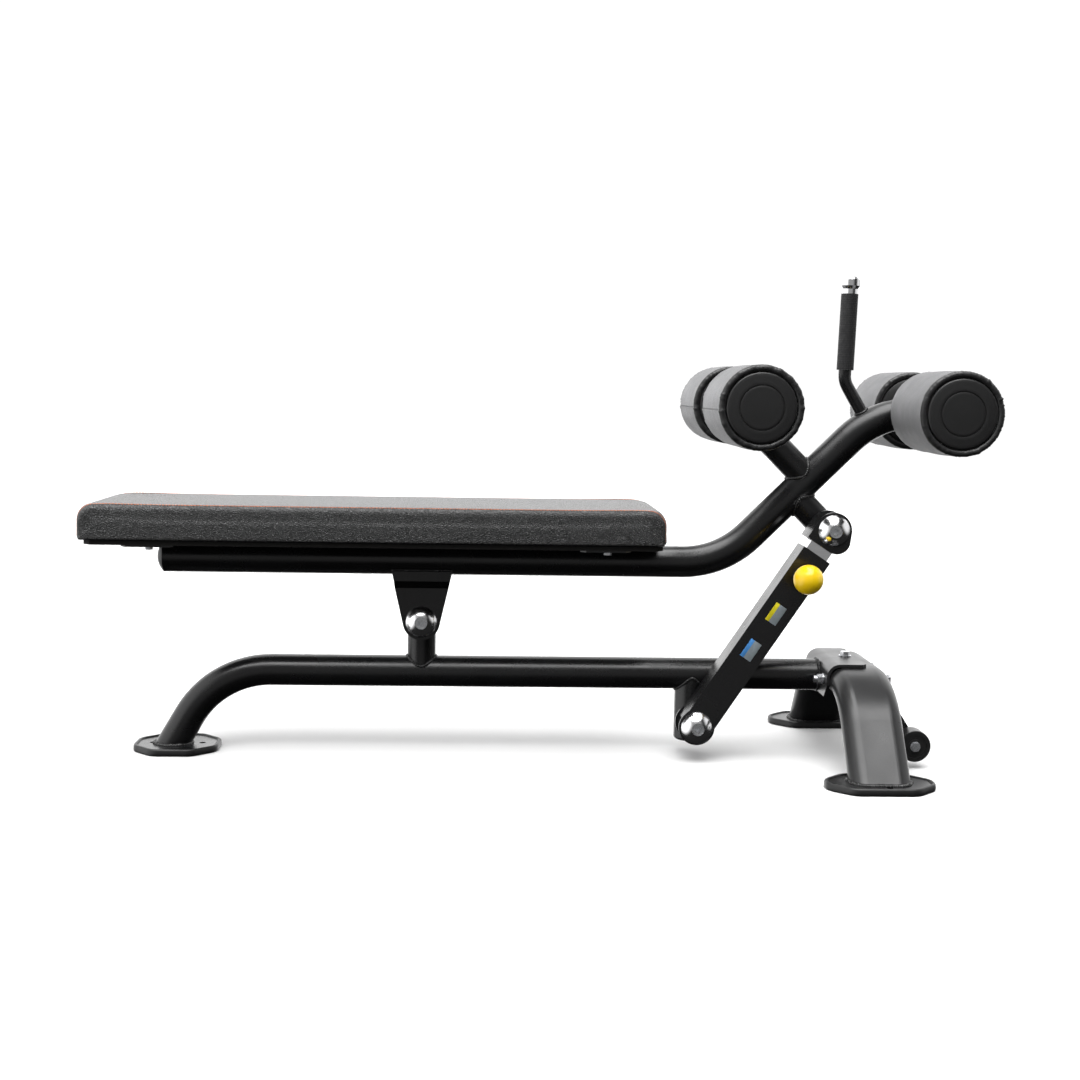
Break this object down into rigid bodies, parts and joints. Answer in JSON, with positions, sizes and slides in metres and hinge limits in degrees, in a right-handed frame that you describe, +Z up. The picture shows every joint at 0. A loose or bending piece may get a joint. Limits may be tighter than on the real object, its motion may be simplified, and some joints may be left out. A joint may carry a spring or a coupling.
{
  "type": "adjustable weight bench",
  "caption": "Adjustable sit-up bench: a long padded board on a tilting tube frame with foam leg rollers, a hand post and a telescopic post locked by a spring pull pin.",
  "frame": {"origin": "on the floor, under the centre of the whole bench's box", "axes": "+X from the head end to the leg rollers, +Z up, -Y the side with the pull pin"},
  "size_m": [1.631, 0.6656, 0.9136],
  "materials": {
    "frame_paint": "satin",
    "arch_paint": "satin",
    "boot_rubber": "matte",
    "wheel_rubber": "matte",
    "chrome": "polished",
    "bolt_steel": "satin",
    "bush_bronze": "satin",
    "liner_nylon": "matte",
    "black_plastic": "satin",
    "roller_vinyl": "satin",
    "pad_leather": "satin",
    "pad_plywood": "matte",
    "knob_yellow": "gloss"
  },
  "bodies": {
    "base": {"base_beam": "frame_paint", "front_foot_plate": "frame_paint", "front_boot": "boot_rubber", "front_pivot_stub": "frame_paint", "front_bushes": "bush_bronze", "post_stub": "frame_paint", "rear_arch": "arch_paint", "rear_foot_plates": "arch_paint", "rear_boots": "boot_rubber", "saddle_plate": "arch_paint", "saddle_bolts": "bolt_steel", "wheel_brackets": "frame_paint", "wheel_axle_bolts": "bolt_steel", "lower_pivot_bolt": "bolt_steel", "lower_pivot_cap": "chrome"},
    "wheel_near": {"wheel_near": "wheel_rubber"},
    "wheel_far": {"wheel_far": "wheel_rubber"},
    "upper_frame": {"bench_beam": "frame_paint", "beam_end_caps": "black_plastic", "knee_arm": "frame_paint", "post_arm": "frame_paint", "post_clevis": "frame_paint", "front_pivot_plates": "frame_paint", "front_pivot_bolt": "bolt_steel", "front_pivot_caps": "chrome", "upper_pivot_bolt": "bolt_steel", "upper_pivot_caps": "chrome", "pad_cross_plates": "frame_paint", "pad_board": "pad_plywood", "pad_cushion": "pad_leather", "pad_bolts": "bolt_steel", "knee_axle": "chrome", "ankle_axle": "chrome", "handle_tube": "frame_paint", "handle_grip": "boot_rubber", "handle_cap": "chrome"},
    "post_sleeve": {"sleeve_tube": "frame_paint", "sleeve_liner": "liner_nylon", "sleeve_pivot_tube": "frame_paint", "sleeve_bushes": "bush_bronze", "liner_screws": "bolt_steel", "plunger_barrel": "bolt_steel", "pin_spring": "bolt_steel"},
    "post_bar": {"inner_bar": "chrome", "inner_bar_eye": "chrome"},
    "pull_pin": {"plunger_pin": "bolt_steel", "pull_knob": "knob_yellow"},
    "knee_roller_near": {"knee_roller_near_foam": "roller_vinyl", "knee_roller_near_core": "black_plastic", "knee_roller_near_caps": "black_plastic"},
    "knee_roller_far": {"knee_roller_far_foam": "roller_vinyl", "knee_roller_far_core": "black_plastic", "knee_roller_far_caps": "black_plastic"},
    "ankle_roller_near": {"ankle_roller_near_foam": "roller_vinyl", "ankle_roller_near_core": "black_plastic", "ankle_roller_near_caps": "black_plastic"},
    "ankle_roller_far": {"ankle_roller_far_foam": "roller_vinyl", "ankle_roller_far_core": "black_plastic", "ankle_roller_far_caps": "black_plastic"}
  },
  "joints": [
    {"name": "frame_tilt", "type": "hinge", "parent": "base", "child": "upper_frame", "pos_m": [-0.2044, 0, 0.2544], "axis": [0, -1, 0], "range_deg": [0, 20]},
    {"name": "post_swing", "type": "hinge", "parent": "base", "child": "post_sleeve", "pos_m": [0.3141, 0, 0.0675], "axis": [0, -1, 0], "range_deg": [0, 21.2]},
    {"name": "post_slide", "type": "slide", "parent": "post_sleeve", "child": "post_bar", "axis": [0.5515, 0, 0.8342], "range_m": [0, 0.1925]},
    {"name": "pin_pull", "type": "slide", "parent": "post_sleeve", "child": "pull_pin", "axis": [0, -1, 0], "range_m": [-0.0048, 0.008], "stiffness_N_per_m": 400, "springref_m": -0.0048, "deforming": ["pin_spring"]},
    {"name": "knee_roller_near_spin", "type": "hinge", "parent": "upper_frame", "child": "knee_roller_near", "pos_m": [0.3882, -0.162, 0.6684], "axis": [0, 1, 0], "continuous": true},
    {"name": "knee_roller_far_spin", "type": "hinge", "parent": "upper_frame", "child": "knee_roller_far", "pos_m": [0.3882, 0.162, 0.6684], "axis": [0, 1, 0], "continuous": true},
    {"name": "ankle_roller_near_spin", "type": "hinge", "parent": "upper_frame", "child": "ankle_roller_near", "pos_m": [0.7406, -0.162, 0.6629], "axis": [0, 1, 0], "continuous": true},
    {"name": "ankle_roller_far_spin", "type": "hinge", "parent": "upper_frame", "child": "ankle_roller_far", "pos_m": [0.7406, 0.162, 0.6629], "axis": [0, 1, 0], "continuous": true},
    {"name": "wheel_near_spin", "type": "hinge", "parent": "base", "child": "wheel_near", "pos_m": [0.718, -0.116, 0.043], "axis": [0, 1, 0], "continuous": true},
    {"name": "wheel_far_spin", "type": "hinge", "parent": "base", "child": "wheel_far", "pos_m": [0.718, 0.116, 0.043], "axis": [0, 1, 0], "continuous": true}
  ],
  "couplings": [
    {"joint": "post_swing", "follows": "frame_tilt", "ratio": 1.0547},
    {"joint": "post_slide", "follows": "frame_tilt", "m_per_rad": 0.54758}
  ]
}
